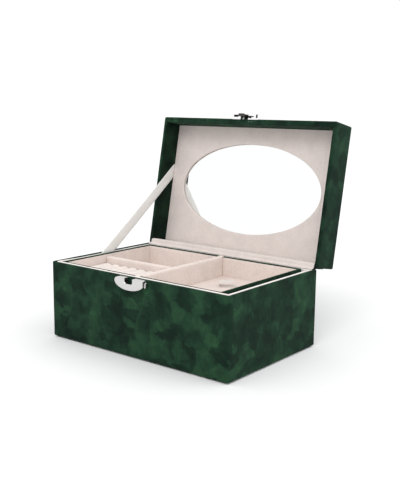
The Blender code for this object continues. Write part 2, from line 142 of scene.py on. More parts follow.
# Materials
def new_material(name, colour, specular=0.5, **settings):
    material = bpy.data.materials.new(name)
    material.use_nodes = True
    shader = material.node_tree.nodes["Principled BSDF"]
    shader.inputs["Base Color"].default_value = (*colour, 1)
    shader.inputs["Specular IOR Level"].default_value = specular
    for socket, value in settings.items():
        shader.inputs[socket.replace("_", " ").title()].default_value = value
    return material, shader


def node(material, kind, inputs=None, **settings):
    made = material.node_tree.nodes.new("ShaderNode" + kind)
    for name, value in settings.items():
        setattr(made, name, value)
    for name, value in (inputs or {}).items():
        made.inputs[name].default_value = value
    return made


def link(source, target):
    source.id_data.links.new(source, target)


def stretched(material, scale=(1, 1, 1)):
    """The piece's own coordinates in metres, scaled along each axis."""
    place = node(material, "TexCoord")
    mapping = node(material, "Mapping", {"Scale": scale})
    link(place.outputs["Object"], mapping.inputs["Vector"])
    return mapping.outputs["Vector"]


def noise_field(material, vector, scale, detail=3, roughness=0.55, distortion=0.0):
    field = node(
        material, "TexNoise",
        {"Scale": scale, "Detail": detail, "Roughness": roughness, "Distortion": distortion},
    )
    link(vector, field.inputs["Vector"])
    return field.outputs["Fac"]


def ramp(material, value, stops):
    """Colours along a value; stops are (position, colour)."""
    made = node(material, "ValToRGB")
    elements = made.color_ramp.elements
    while len(elements) < len(stops):
        elements.new(0.5)
    for element, (position, colour) in zip(elements, stops):
        element.position = position
        element.color = (*colour, 1)
    link(value, made.inputs["Fac"])
    return made.outputs["Color"]


def spread(material, value, low, high):
    """The middle of a noise's range, spread to run from low to high."""
    made = node(
        material, "MapRange", {"From Min": 0.3, "From Max": 0.7, "To Min": low, "To Max": high}
    )
    link(value, made.inputs["Value"])
    return made.outputs["Result"]


def times(material, a, b):
    """One colour multiplied by another."""
    made = node(material, "Mix", data_type="RGBA", blend_type="MULTIPLY")
    made.inputs["Factor"].default_value = 1.0
    link(a, made.inputs[6])
    link(b, made.inputs[7])
    return made.outputs[2]


def bumps(material, shader, layers):
    """Stacked bump layers, each (height, strength, depth in metres)."""
    normal = None
    for height, strength, depth in layers:
        bump = node(material, "Bump", {"Strength": strength, "Distance": depth})
        link(height, bump.inputs["Height"])
        if normal is not None:
            link(normal, bump.inputs["Normal"])
        normal = bump.outputs["Normal"]
    link(normal, shader.inputs["Normal"])


def green_velvet(name, depth):
    """Crushed suede-like pile: overlapping soft patches of lighter and darker nap, with a fine grain."""
    material, shader = new_material(
        name, (0.012, 0.03, 0.018), 0.10, roughness=0.88, sheen_weight=0.06, sheen_roughness=0.45
    )
    shader.inputs["Sheen Tint"].default_value = (0.35, 0.62, 0.44, 1)
    even = stretched(material)
    wobble = node(material, "TexNoise", {"Scale": 150, "Detail": 2.5, "Roughness": 0.6})
    link(even, wobble.inputs["Vector"])
    place = node(material, "VectorMath", operation="MULTIPLY_ADD")
    place.inputs[1].default_value = (0.010, 0.010, 0.010)
    link(wobble.outputs["Color"], place.inputs[0])
    link(even, place.inputs[2])
    cells = node(material, "TexVoronoi", {"Scale": 78, "Smoothness": 0.22}, feature="SMOOTH_F1")
    link(place.outputs["Vector"], cells.inputs["Vector"])
    parts = node(material, "SeparateColor")
    link(cells.outputs["Color"], parts.inputs["Color"])
    clouds = noise_field(material, even, 48, 3, 0.6, 0.4)
    nap_lie = node(material, "Mix", data_type="FLOAT")
    nap_lie.inputs["Factor"].default_value = 0.58
    link(parts.outputs["Red"], nap_lie.inputs["A"])
    link(spread(material, clouds, 0.0, 1.0), nap_lie.inputs["B"])
    patches = nap_lie.outputs["Result"]
    shades = [
        (0.18, (0.0040, 0.0135, 0.0086)), (0.42, (0.0072, 0.0235, 0.0135)),
        (0.60, (0.0108, 0.0355, 0.0188)), (0.86, (0.0165, 0.0520, 0.0250)),
    ]
    # depth scales every shade of the pile; below 1 it makes a darker copy, used as painted shade
    colour = ramp(material, patches, [(place, [c * depth for c in shade]) for place, shade in shades])
    areas = ramp(
        material, noise_field(material, even, 15, 2, 0.5, 0.5),
        [(0.3, (0.76, 0.78, 0.84)), (0.7, (1.22, 1.20, 1.14))],
    )
    nap = noise_field(material, even, 2400, 2, 0.6)
    grain = ramp(material, nap, [(0.3, (0.8, 0.8, 0.8)), (0.7, (1.18, 1.18, 1.18))])
    link(times(material, times(material, colour, areas), grain), shader.inputs["Base Color"])
    bumps(material, shader, [(clouds, 0.2, 0.0008), (nap, 0.5, 0.00012)])
    return material


def suede(name, base, weave=0.00008):
    """Matt flannel suede with a faint woven ground and short fibres."""
    material, shader = new_material(
        name, base, 0.15, roughness=0.92, sheen_weight=0.18, sheen_roughness=0.5
    )
    shader.inputs["Sheen Tint"].default_value = (1.0, 0.93, 0.88, 1)
    even = stretched(material)
    low = [c * 0.955 for c in base]
    high = [min(1, c * 1.03) for c in base]
    patches = ramp(material, noise_field(material, even, 70, 4, 0.6), [(0.35, low), (0.65, high)])
    threads = noise_field(material, stretched(material, (1, 1, 7)), 320, 2, 0.5)
    cross_threads = noise_field(material, stretched(material, (7, 7, 1)), 320, 2, 0.5)
    fibres = noise_field(material, even, 1900, 2, 0.6)
    mottle = ramp(material, fibres, [(0.3, (0.94, 0.935, 0.93)), (0.7, (1.03, 1.03, 1.03))])
    linen = noise_field(material, stretched(material, (1.6, 1, 1)), 620, 1.5, 0.5)
    grain = ramp(material, linen, [(0.32, (0.945, 0.94, 0.937)), (0.68, (1.035, 1.035, 1.035))])
    colour = times(material, times(material, patches, mottle), grain)
    link(colour, shader.inputs["Base Color"])
    bumps(
        material, shader,
        [(threads, 0.35, weave), (cross_threads, 0.35, weave), (fibres, 0.5, 0.00008)],
    )
    return material


def satin_ribbon(name, dark, light):
    """Woven ribbon: warp lines along its length, from the strip's own map."""
    material, shader = new_material(
        name, light, 0.3, roughness=0.5, sheen_weight=0.25, sheen_roughness=0.35
    )
    strip = node(material, "UVMap", uv_map="strip")
    warp = node(material, "TexWave", {"Scale": 900, "Distortion": 0.6, "Detail": 1}, bands_direction="X")
    weft = node(material, "TexWave", {"Scale": 500, "Distortion": 0.6, "Detail": 1}, bands_direction="Y")
    for wave in (warp, weft):
        link(strip.outputs["UV"], wave.inputs["Vector"])
    threads = ramp(material, warp.outputs["Fac"], [(0.0, dark), (1.0, light)])
    even = stretched(material)
    tone = ramp(
        material, noise_field(material, even, 60, 2), [(0.3, (0.96, 0.96, 0.95)), (0.7, (1.02, 1.02, 1.02))]
    )
    link(times(material, threads, tone), shader.inputs["Base Color"])
    bumps(material, shader, [(warp.outputs["Fac"], 0.4, 0.00006), (weft.outputs["Fac"], 0.25, 0.00004)])
    return material


def plated(name, colour, roughness, wear):
    """Bright plating with faint haze and hairline scratches."""
    material, shader = new_material(name, colour, metallic=1.0, roughness=roughness)
    even = stretched(material)
    haze = noise_field(material, even, 260, 4, 0.6)
    link(spread(material, haze, roughness * 0.6, roughness * 1.5), shader.inputs["Roughness"])
    scratches = noise_field(material, stretched(material, (40, 1, 3)), 60, 2, 0.5)
    bumps(material, shader, [(haze, 0.25, wear), (scratches, 0.3, wear)])
    return material


def raw_casting():
    """The unplated, blackened hollows of the castings."""
    material, shader = new_material("raw_casting", (0.015, 0.015, 0.016), metallic=0.4, roughness=0.75)
    pits = noise_field(material, stretched(material), 900, 3, 0.6)
    colour = ramp(material, pits, [(0.3, (0.006, 0.006, 0.007)), (0.7, (0.035, 0.034, 0.034))])
    link(colour, shader.inputs["Base Color"])
    bumps(material, shader, [(pits, 0.5, 0.00008)])
    return material


def silvered_glass():
    material, shader = new_material("mirror", (0.95, 0.965, 0.965), metallic=1.0, roughness=0.015)
    dust = noise_field(material, stretched(material), 90, 4, 0.6)
    link(spread(material, dust, 0.008, 0.022), shader.inputs["Roughness"])
    return material


def fibreboard():
    material, shader = new_material("board", (0.42, 0.32, 0.21), roughness=0.85)
    even = stretched(material)
    chips = noise_field(material, stretched(material, (1, 1, 5)), 700, 4, 0.7)
    colour = ramp(material, chips, [(0.3, (0.27, 0.19, 0.115)), (0.7, (0.52, 0.41, 0.28))])
    link(colour, shader.inputs["Base Color"])
    bumps(material, shader, [(chips, 0.5, 0.0001), (noise_field(material, even, 2200), 0.3, 0.00006)])
    return material


def felt():
    material, shader = new_material(
        "felt", (0.012, 0.02, 0.016), roughness=1.0, sheen_weight=0.3, sheen_roughness=0.5
    )
    even = stretched(material)
    hairs = noise_field(material, even, 1400, 4, 0.75, 1.5)
    colour = ramp(material, hairs, [(0.3, (0.006, 0.012, 0.009)), (0.7, (0.022, 0.036, 0.028))])
    link(colour, shader.inputs["Base Color"])
    bumps(material, shader, [(hairs, 0.8, 0.00025)])
    return material


VELVET_CLOTH = green_velvet("green_velvet", 1.0)
# painted shade: a copy of the green velvet at half brightness, for the lid's left inner wall, which lies in shade
SHADED_VELVET = green_velvet("velvet_painted_shade", 0.5)
SUEDE_CLOTH = suede("beige_suede", (0.675, 0.608, 0.578), 0.00010)
LINING_CLOTH = suede("tray_suede", (0.73, 0.645, 0.60), 0.00006)
ROLL_CLOTH = suede("ring_foam", (0.755, 0.69, 0.655), 0.00005)
# a lighter copy of the beige suede for the base lining: the rim top's bright line is partly the suede's own pale
# tone and partly painted highlight
HIGHLIT_RIM_CLOTH = suede("rim_suede_painted_highlight", (0.84, 0.79, 0.765), 0.00005)
RIBBON_CLOTH = satin_ribbon("satin_ribbon", (0.74, 0.73, 0.71), (0.85, 0.84, 0.82))
PULL_CLOTH = satin_ribbon("pull_ribbon_cloth", (0.66, 0.61, 0.585), (0.76, 0.715, 0.69))
CHROME = plated("chrome", (0.64, 0.625, 0.62), 0.12, 0.00002)
# painted highlight: the catch's plating is a brighter copy of the chrome, so it glares near white where the
# latch's is grey
LIT_CATCH_CHROME = plated("catch_chrome_painted_highlight", (0.93, 0.93, 0.94), 0.10, 0.00002)
# painted reflection: the hook's chrome is darkened to near black, standing in for the dark velvet it reflects
DARKENED_HOOK_CHROME = plated("hook_chrome_painted_dark_reflection", (0.075, 0.068, 0.068), 0.24, 0.00003)
CASTING = raw_casting()
SPRING = plated("spring_steel", (0.56, 0.56, 0.57), 0.3, 0.00003)
GLASS = silvered_glass()
BOARD = fibreboard()
FELT = felt()


# Meshes
def add_object(name, data):
    obj = bpy.data.objects.new(name, data)
    bpy.context.scene.collection.objects.link(obj)
    return obj


def evaluated_mesh(obj):
    bpy.context.view_layer.update()
    return bpy.data.meshes.new_from_object(obj.evaluated_get(bpy.context.evaluated_depsgraph_get()))


def add_mesh(name, points, faces, material, sharp=38):
    mesh = bpy.data.meshes.new(name)
    mesh.from_pydata(points, [], faces)
    mesh.materials.append(material)
    mesh.shade_smooth()
    mesh.set_sharp_from_angle(angle=math.radians(sharp))
    return add_object(name, mesh)


def loft(name, rings, material, closed=True, caps=(False, False), flip=False, around=False, sharp=38):
    """Quads between rings; closed joins each ring's ends, around joins the last ring to the first."""
    count = len(rings[0])
    faces = []
    total = len(rings) if around else len(rings) - 1
    for i in range(total):
        first, second = i * count, (i + 1) % len(rings) * count
        for j in range(count if closed else count - 1):
            k = (j + 1) % count
            faces.append((first + j, first + k, second + k, second + j))
    if caps[0]:
        faces.append(tuple(reversed(range(count))))
    if caps[1]:
        faces.append(tuple(range((len(rings) - 1) * count, len(rings) * count)))
    if flip:
        faces = [tuple(reversed(face)) for face in faces]
    return add_mesh(name, [point for ring in rings for point in ring], faces, material, sharp)


def bake(obj):
    """Applies the object's modifiers to its mesh."""
    mesh = evaluated_mesh(obj)
    obj.modifiers.clear()
    obj.data = mesh
    return obj


def thicken(obj, thickness, offset=-1.0):
    solidify = obj.modifiers.new("thickness", "SOLIDIFY")
    solidify.thickness = thickness
    solidify.offset = offset
    return bake(obj)


def ripple(obj, amount, size, seed=0.0):
    """Moves each point in or out a little, as cloth that isn't pulled quite flat."""
    mesh = obj.data
    shift = Vector((seed, seed * 1.7, -seed))
    moved = []
    for vertex in mesh.vertices:
        place = Vector([c / s for c, s in zip(vertex.co, size)]) + shift
        moved.append(vertex.co + vertex.normal * amount * noise.noise(place))
    for vertex, place in zip(mesh.vertices, moved):
        vertex.co = place
    mesh.update()
    return obj


def open_lid(obj):
    obj.data.transform(LID_OPEN)
    obj.data.update()
    return obj


def arc(centre, radius, start, end, steps):
    angles = [math.radians(start + (end - start) * i / steps) for i in range(steps + 1)]
    return [(centre[0] + radius * math.cos(a), centre[1] + radius * math.sin(a)) for a in angles]


def eased(t):
    """0 to 1 with a soft start and end."""
    t = min(max(t, 0.0), 1.0)
    return t * t * (3 - 2 * t)


def evenly(a, b, steps):
    return [a + (b - a) * i / steps for i in range(steps + 1)]


def smooth_path(points, steps):
    """Points on a smooth curve through the given ones."""
    ends = [points[0] * 2 - points[1]] + points + [points[-1] * 2 - points[-2]]
    path = []
    for a, b, c, d in zip(ends, ends[1:], ends[2:], ends[3:]):
        for i in range(steps):
            t = i / steps
            path.append(
                b + ((c - a) * t + (2 * a - 5 * b + 4 * c - d) * t * t + (3 * b - a - 3 * c + d) * t ** 3) / 2
            )
    return path + [points[-1]]


def rect_ring(low, high, inset, z, radius):
    """Points round a rounded rectangle, anticlockwise from above; as many for any inset."""
    r = max(radius - inset, 0.00008)
    x0, y0, x1, y1 = low[0] + inset, low[1] + inset, high[0] - inset, high[1] - inset
    sides = [max(2, round((high[i] - low[i]) / CLOTH_STEP)) for i in (1, 0, 1, 0)]
    corners = [
        ((x1 - r, y0 + r), -90), ((x1 - r, y1 - r), 0), ((x0 + r, y1 - r), 90), ((x0 + r, y0 + r), 180),
    ]
    arcs = [arc(centre, r, start, start + 90, 4) for centre, start in corners]
    ring = []
    for i, steps in enumerate(sides):
        ring += arcs[i]
        (xa, ya), (xb, yb) = arcs[i][-1], arcs[(i + 1) % 4][0]
        ring += [(xa + (xb - xa) * t, ya + (yb - ya) * t) for t in evenly(0, 1, steps)[1:-1]]
    return [(x, y, z) for x, y in ring]


def swept(name, low, high, profile, radius, material, **settings):
    """A profile of (inset, z) points, swept round a rounded rectangle."""
    rings = [rect_ring(low, high, inset, z, radius) for inset, z in profile]
    return loft(name, rings, material, **settings)


def axis_cuts(low, high, radius, step):
    edge = [radius * t for t in (0, 0.25, 0.6, 1.0)]
    middle = evenly(low + radius, high - radius, max(1, round((high - low - 2 * radius) / step)))
    return [low + e for e in edge[:-1]] + middle + [high - e for e in reversed(edge[:-1])]


def soft_box(name, low, high, radius, step, material, shape=None):
    """A box with round edges on a fine grid; shape moves each point, given how far across it is (-1 to 1)."""
    cuts = [axis_cuts(a, b, radius, step) for a, b in zip(low, high)]
    centre = (Vector(low) + Vector(high)) / 2
    half = (Vector(high) - Vector(low)) / 2
    index, points, faces = {}, [], []

    def corner(key):
        if key not in index:
            place = Vector([cuts[i][key[i]] for i in range(3)])
            core = Vector([min(max(place[i], low[i] + radius), high[i] - radius) for i in range(3)])
            out = place - core
            place = core + out.normalized() * radius if out.length > 0 else place
            across = Vector([(place[i] - centre[i]) / half[i] for i in range(3)])
            index[key] = len(points)
            points.append(shape(place, across) if shape else place)
        return index[key]

    counts = [len(c) - 1 for c in cuts]
    for axis in range(3):
        u, v = (axis + 1) % 3, (axis + 2) % 3
        for end in (0, counts[axis]):
            for i in range(counts[u]):
                for j in range(counts[v]):
                    square = [(i, j), (i + 1, j), (i + 1, j + 1), (i, j + 1)]
                    face = []
                    for a, b in square if end else reversed(square):
                        key = [0, 0, 0]
                        key[axis], key[u], key[v] = end, a, b
                        face.append(corner(tuple(key)))
                    faces.append(face)
    return add_mesh(name, points, faces, material, 60)


def mitred_wall(name, side, low, high, thickness, gap, material, rise=lambda t: 0.0):
    """One wall of a lining: a cloth-covered card with a round top, cut at 45 degrees at its ends.

    rise lifts the top by some metres, given how far along the wall it is (-1 to 1).
    """
    z0, z1 = low[2], high[2]
    r = thickness / 2
    inner = [(thickness, z) for z in evenly(z0, z1 - r, 8)]
    top = [(r + dx, z) for dx, z in arc((0, z1 - r), r, 0, 180, 8)]
    outer = [(0.0, z) for z in evenly(z1 - r, z0, 8)[1:]]
    profile = inner + top[1:] + outer
    along_x = side in ("front", "back")
    reach = (high[0] - low[0]) / 2 if along_x else (high[1] - low[1]) / 2
    steps = round(2 * reach / CLOTH_STEP)
    middle = [(low[i] + high[i]) / 2 for i in range(2)]
    rings = []
    for t in evenly(-1, 1, steps):
        ring = []
        for inset, height in profile:
            z = height + rise(t) * (height - z0) / (z1 - z0)
            s = t * (reach - inset - gap)
            place = {
                "front": (middle[0] + s, low[1] + inset), "back": (middle[0] - s, high[1] - inset),
                "left": (low[0] + inset, middle[1] - s), "right": (high[0] - inset, middle[1] + s),
            }[side]
            ring.append((*place, z))
        rings.append(ring)
    wall = loft(name, rings, material, caps=(True, True), flip=True)
    return ripple(wall, SUEDE_RIPPLE, CARD_WAVES, len(name))


def strip(name, rows, material, across, along):
    """An open sheet of rows of points, with a map of its own in metres."""
    obj = loft(name, rows, material, closed=False)
    count = len(rows[0])
    uv = obj.data.uv_layers.new(name="strip")
    for loop in obj.data.loops:
        i, j = divmod(loop.vertex_index, count)
        uv.data[loop.index].uv = (across[j], along[i])
    return obj


def lengths_along(path):
    along = [0.0]
    for a, b in zip(path, path[1:]):
        along.append(along[-1] + (b - a).length)
    return along


def plate(name, outline, y_front, y_back, bevel, material):
    """An outline of (x, z) points, extruded along Y, with round edges."""
    curve = bpy.data.curves.new(name, "CURVE")
    curve.dimensions = "2D"
    curve.fill_mode = "BOTH"
    curve.extrude = (y_back - y_front) / 2 - bevel
    curve.bevel_depth = bevel
    curve.bevel_resolution = 3
    curve.offset = -bevel
    spline = curve.splines.new("POLY")
    spline.points.add(len(outline) - 1)
    for point, (x, z) in zip(spline.points, outline):
        point.co = (x, z, 0, 1)
    spline.use_cyclic_u = True
    source = add_object(name + "_outline", curve)
    mesh = evaluated_mesh(source)
    bpy.data.objects.remove(source)
    mesh.name = name
    middle = Matrix.Translation((0, (y_front + y_back) / 2, 0))
    mesh.transform(middle @ Matrix.Rotation(math.pi / 2, 4, "X"))
    mesh.materials.clear()
    mesh.materials.append(material)
    obj = add_object(name, mesh)
    weld = obj.modifiers.new("weld", "WELD")
    weld.merge_threshold = 0.000005
    return bake(obj)


def cut_box(obj, low, high):
    """Takes a box out of a casting, whose hollows aren't plated."""
    cutter = soft_box("cutter", low, high, 0.0001, 1.0, CASTING)
    boolean = obj.modifiers.new("cut", "BOOLEAN")
    boolean.material_mode = "TRANSFER"
    boolean.operation = "DIFFERENCE"
    boolean.solver = "EXACT"
    boolean.object = cutter
    bake(obj)
    bpy.data.objects.remove(cutter)
    return obj


def polish(obj, sharp=35):
    obj.data.shade_smooth()
    obj.data.set_sharp_from_angle(angle=math.radians(sharp))
    return obj


def settle(obj, body, slot, *nodes):
    """The piece rides on a body and stands for CAD nodes, which it hides; the slot argument is not used."""
    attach(obj, body)
    if nodes:
        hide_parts(*nodes)
    return obj


# Base
def make_base_velvet():
    low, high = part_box("base_velvet_wrap")
    z0, z1 = low.z, high.z
    r = EDGE
    profile = [(0.0075, z0 + 0.0002), (0.004, z0)]
    profile += arc((r, z0 + r), r, 270, 180, 5)
    profile += [(0.0, z) for z in evenly(z0 + r, z1 - r, 20)[1:-1]]
    profile += arc((r, z1 - r), r, 180, 90, 5)
    profile += [(0.0026, z1), (0.0029, z1 - 0.00015), (0.0030, z1 - 0.0006)]
    cloth = swept("base_velvet_cloth", low, high, profile, EDGE + 0.0004, VELVET_CLOTH)
    for vertex in cloth.data.vertices:
        leftward = eased((low.x + 0.006 - vertex.co.x) / 0.004)
        if vertex.co.x - low.x > 0.0024 and vertex.co.z > z1 - 0.0015:
            vertex.co.x += LIP_EXTRA * leftward
        vertex.co.z += RIM_EXTRA * leftward * eased((vertex.co.z - z1 + 0.006) / 0.005)
    ripple(cloth, VELVET_RIPPLE, VELVET_WAVES, 3.1)
    thicken(cloth, VELVET)
    settle(cloth, "base", "green_velvet", "base_velvet_wrap")


def make_base_lining():
    nodes = [f"base_{side}_liner" for side in SIDES]
    low, high = joined_box(nodes)
    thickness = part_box("base_left_liner")[1].x - low.x
    rises = {
        "front": lambda t: RIM_SHOW,
        "back": lambda t: 0.0,
        "left": lambda t: RIM_SHOW * eased((t - 0.55) / 0.4),
        "right": lambda t: RIM_SHOW * (1 - eased((t - 0.8) / 0.2)),
    }
    for side, cad in zip(SIDES, nodes):
        # the lining's walls take the lighter rim suede, partly painted highlight along the rim top
        wall = mitred_wall(
            f"base_lining_{side}", side, low, high, thickness, 0.00005, HIGHLIT_RIM_CLOTH, rises[side]
        )
        settle(wall, "base", "beige_suede", cad)
    for side in SIDES:
        cad = f"tray_ledge_{side}"
        low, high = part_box(cad)
        card = soft_box(f"ledge_card_{side}", low, high, 0.0009, 0.006, SUEDE_CLOTH)
        ripple(card, SUEDE_RIPPLE, CARD_WAVES, 1.3 * len(side))
        settle(card, "base", "beige_suede", cad)


def crowned(rise):
    """A shape for soft_box: the top swells by rise in the middle."""

    def shape(place, across):
        lift = rise * ((1 - across.x ** 4) * (1 - across.y ** 4))
        return place + Vector((0, 0, lift if across.z > 0 else 0))

    return shape


def make_floor_cushion():
    low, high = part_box("base_floor_pad")
    pad = soft_box("lower_floor_cushion", low, high, 0.0008, 0.005, SUEDE_CLOTH, crowned(0.0006))
    ripple(pad, 0.00025, (0.025, 0.025, 0.02), 5.2)
    settle(pad, "base", "beige_suede", "base_floor_pad")


def make_felt():
    low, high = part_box("base_bottom_felt")
    profile = [(0.0004, high.z), (0.0, high.z - 0.0003), (0.0, low.z + 0.0003), (0.0003, low.z)]
    profile += [(inset, low.z) for inset in (0.01, 0.025, 0.045, 0.06, 0.0722)]
    profile += [(inset, high.z) for inset in (0.0722, 0.06, 0.045, 0.025, 0.01)]
    rings = [rect_ring(low, high, inset, z, 0.002) for inset, z in profile]
    sheet = loft("felt_sheet", rings, FELT, flip=True, around=True)
    settle(sheet, "base", "felt", "base_bottom_felt")


# Cloth across the hinge
def side_view(*points):
    """Points of (y, z), in the plane that cuts the case from front to back."""
    return [Vector((0, y, z)) for y, z in points]


def hinge_strip(name, path, x_low, x_high, fold, material, seed):
    """A sheet along X that follows a path of (y, z), with folds that run along the hinge."""
    columns = evenly(x_low, x_high, 110)
    rows = [[Vector((x, p.y, p.z)) for x in columns] for p in path]
    cloth = strip(name, rows, material, columns, lengths_along(path))
    ripple(cloth, fold, (0.05, 0.0032, 0.0032), seed)
    ripple(cloth, fold * 0.4, (0.012, 0.009, 0.009), seed + 4)
    return thicken(cloth, SUEDE, 0.0)


def make_hinge_inner():
    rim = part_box("base_velvet_wrap")[1].z + 0.0003
    inner_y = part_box("base_back_liner")[0].y + 0.0004
    y, z = PIVOT.y, PIVOT.z
    mat_z = closed_box("mirror_mat")[0].z - 0.0010
    mat = LID_OPEN @ Vector((0, closed_box("hinge_cloth_inner")[0].y, mat_z))
    points = side_view(
        (inner_y, rim), (y - 0.0020, rim + 0.0001), (y - 0.0003, z + 0.0007), (y + 0.0003, z + 0.0023),
        (y + 0.0011, z + 0.0042), (y + 0.0034, z + 0.0050), (y + 0.0075, z + 0.0044),
        (y + 0.0130, z + 0.0028),
    )
    path = smooth_path(points + [mat], 5)
    low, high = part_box("hinge_cloth_inner")
    cloth = hinge_strip("hinge_inner_cloth", path, low.x, high.x, 0.00028, SUEDE_CLOTH, 2.0)
    behind = LID_TURN @ Vector((0, 0, 1))
    for vertex in cloth.data.vertices:  # tucked deeper behind the mat towards the right
        near = (Vector((0, vertex.co.y, vertex.co.z)) - mat).length
        vertex.co += behind * 0.0016 * eased((vertex.co.x - 0.015) / 0.03) * eased(1 - near / 0.0045)
    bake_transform(cloth)
    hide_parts("hinge_cloth_inner")
    lengths_along(path)[-1]


def make_hinge_outer():
    low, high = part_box("hinge_velvet")
    out = PIVOT.y + 0.00025
    z = PIVOT.z
    tip = LID_OPEN @ Vector((0, PIVOT.y + 0.0002, z + 0.018))
    near = LID_OPEN @ Vector((0, PIVOT.y + 0.0002, z + 0.004))
    points = side_view(
        (out, low.z), (out, z - 0.012), (out, z - 0.004), (out + 0.0002, z - 0.0018),
        (out + 0.0012, z - 0.0008),
    )
    path = smooth_path(points + [near, near.lerp(tip, 0.4), tip], 5)
    cloth = hinge_strip("hinge_outer_cloth", path, low.x, high.x, 0.0001, VELVET_CLOTH, 8.0)
    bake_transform(cloth)
    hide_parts("hinge_velvet")
    lengths_along(path)[-1]


def make_ribbon():
    """A taut ribbon from the gap beside the tray to the edge of the mat, cut off by both."""
    low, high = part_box("ribbon_stay")
    x = (low.x + high.x) / 2
    foot = Vector((0, RIBBON_FOOT_Y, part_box("tray_velvet_wrap")[1].z - 0.0018))
    mat_face = closed_box("mirror_mat")[0].z
    mat_normal = LID_TURN @ Vector((0, 0, 1))
    head_y = PIVOT.y - RIBBON_HEAD
    head = LID_OPEN @ Vector((0, head_y, mat_face))
    on_mat = LID_OPEN @ Vector((0, head_y, mat_face + 0.0006))
    ahead = (head - foot).normalized()
    side = Vector((0, -ahead.z, ahead.y))
    across = evenly(-RIBBON_WIDTH / 2, RIBBON_WIDTH / 2, 10)
    rows = []
    for t in evenly(-0.09, 1, 48):
        row = []
        for w in across:
            start = foot + side * w
            start += ahead * ((foot.z - start.z) / ahead.z)
            end = foot + side * w
            end += ahead * ((on_mat - end).dot(mat_normal) / ahead.dot(mat_normal))
            along = max(t, 0.0)
            place = start.lerp(end, along)
            place.z += min(t, 0.0) / 0.09 * RIBBON_TAIL
            cup = 0.00035 * (1 - (2 * w / RIBBON_WIDTH) ** 2)
            sway = 0.0006 * math.sin(math.pi * along) * w / RIBBON_WIDTH
            place.x = x - RIBBON_DRIFT * along ** 2 + cup + sway
            row.append(place)
        rows.append(row)
    path = [row[len(across) // 2] for row in rows]
    ribbon = strip("ribbon", rows, RIBBON_CLOTH, across, lengths_along(path))
    thicken(ribbon, SUEDE, 0.0)
    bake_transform(ribbon)
    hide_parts("ribbon_stay")


# Latch
def moon_outline(flat, curved, notch_end):
    """A half-moon with a notch in its straight edge, round at its left end and square at its right."""
    out = 1 if flat > curved else -1
    low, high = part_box("latch_body")
    half = (high.x - low.x) / 2
    middle = flat - out * SHOULDER
    crown = abs(middle - curved)
    points = [(half, middle), (half, flat - out * 0.0006), (half - 0.0006, flat)]
    points += [(NOTCH, flat), (NOTCH, notch_end + out * NOTCH_FILLET)]
    for x, start, end, steps in ((NOTCH - NOTCH_FILLET, -20, -90, 4), (NOTCH_FILLET - NOTCH, -90, -180, 5)):
        corner = arc((x, 0), NOTCH_FILLET, start, end, steps)
        points += [(x, notch_end + out * (NOTCH_FILLET + dz)) for x, dz in corner]
    points += [(-NOTCH, flat)]
    points += [(x, middle + out * dz) for x, dz in arc((SHOULDER - half, 0), SHOULDER, 90, 180, 8)]
    last = 360 - math.degrees(math.acos(half / LATCH_END))
    for reach, start, end in ((half, 180, 270), (LATCH_END, 270, last)):
        for a in evenly(start, end, 18)[1:]:
            angle = math.radians(a)
            points.append((reach * math.cos(angle), middle + out * crown * math.sin(angle)))
    return points


def make_latch():
    low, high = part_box("latch_body")
    bolt_low, bolt_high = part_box("latch_slider")
    spring_low, spring_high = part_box("latch_spring")
    outline = moon_outline(high.z, low.z, low.z + LATCH_LIP)
    body = plate("latch_half_moon", outline, low.y, high.y, LATCH_BEVEL, CHROME)
    bar_low, bar_high = bolt_high.z - BAR_DROP - BAR_HEIGHT, bolt_high.z - BAR_DROP
    skin = low.y + FRONT_SKIN
    behind = high.y + 0.001  # past the casting's back
    bar_front = bolt_low.y - BOLT_GAP
    cut_box(body, (-NOTCH, skin, low.z + 0.0045), (NOTCH, behind, high.z - 0.0009))
    cut_box(body, (NOTCH - 0.001, bar_front, bar_low - BOLT_GAP), (0.026, behind, bar_high + BOLT_GAP))
    cut_box(
        body, (spring_low.x - 0.0016, bar_front, spring_low.z - BOLT_GAP),
        (spring_high.x + BOLT_GAP, behind, bar_low),
    )
    for z in (bar_low + 0.0002, bar_low + 0.0024):
        cut_box(body, (-0.0095, low.y + 0.0012, z), (-NOTCH + 0.001, high.y - 0.0004, z + 0.0015))
    cut_box(
        body, (high.x - 0.0014, skin, bar_low - 0.0024), (high.x + 0.001, high.y - 0.0008, high.z - 0.0011)
    )
    settle(polish(body), "base", "chrome", "latch_body")

    knob_x = bolt_high.x - 0.0017
    knob_top, knob_foot = bolt_high.z - 0.0001, bar_low - 0.0008
    foot_left, foot_right = 0.0060, 0.0070  # the bolt's foot, which the spring pushes
    bolt = [
        (bolt_low.x, bar_low + 0.0014), (bolt_low.x, bar_high - 0.0012), (bolt_low.x + 0.0014, bar_high),
        (knob_x, bar_high), (knob_x + 0.0002, knob_top - 0.0006), (knob_x + 0.0009, knob_top),
        (bolt_high.x, knob_top - 0.0007), (bolt_high.x, knob_foot + 0.0011),
        (bolt_high.x - 0.0008, knob_foot), (knob_x, knob_foot), (knob_x, bar_low),
        (foot_right, bar_low), (foot_right, bolt_low.z), (foot_left, bolt_low.z),
        (foot_left, bar_low + 0.0014),
    ]
    slider = plate("latch_bolt", bolt, bolt_low.y, bolt_high.y, 0.00025, CHROME)
    settle(polish(slider), "latch_slider", "chrome", "latch_slider")


def make_spring():
    """A wire coil between the bolt's foot and the end of its pocket."""
    low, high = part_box("latch_spring")
    centre = (low + high) / 2
    wire = 0.00016
    radius = (high.z - low.z) / 2 - wire
    steps, per_turn = 88, 16
    rings = []
    for i in range(steps + 1):
        angle = 2 * math.pi * i / per_turn
        out = Vector((0, math.cos(angle), math.sin(angle)))
        x = low.x + wire + (high.x - low.x - 2 * wire) * i / steps
        middle = Vector((x, centre.y, centre.z)) + out * radius
        rings.append([
            middle + out * (wire * math.cos(b)) + Vector((wire * math.sin(b), 0, 0))
            for b in evenly(0, 2 * math.pi, 8)[:-1]
        ])
    spring = loft("latch_coil", rings, SPRING, caps=(True, True), flip=True)
    settle(spring, "base", "spring_steel", "latch_spring")
    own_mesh(spring)


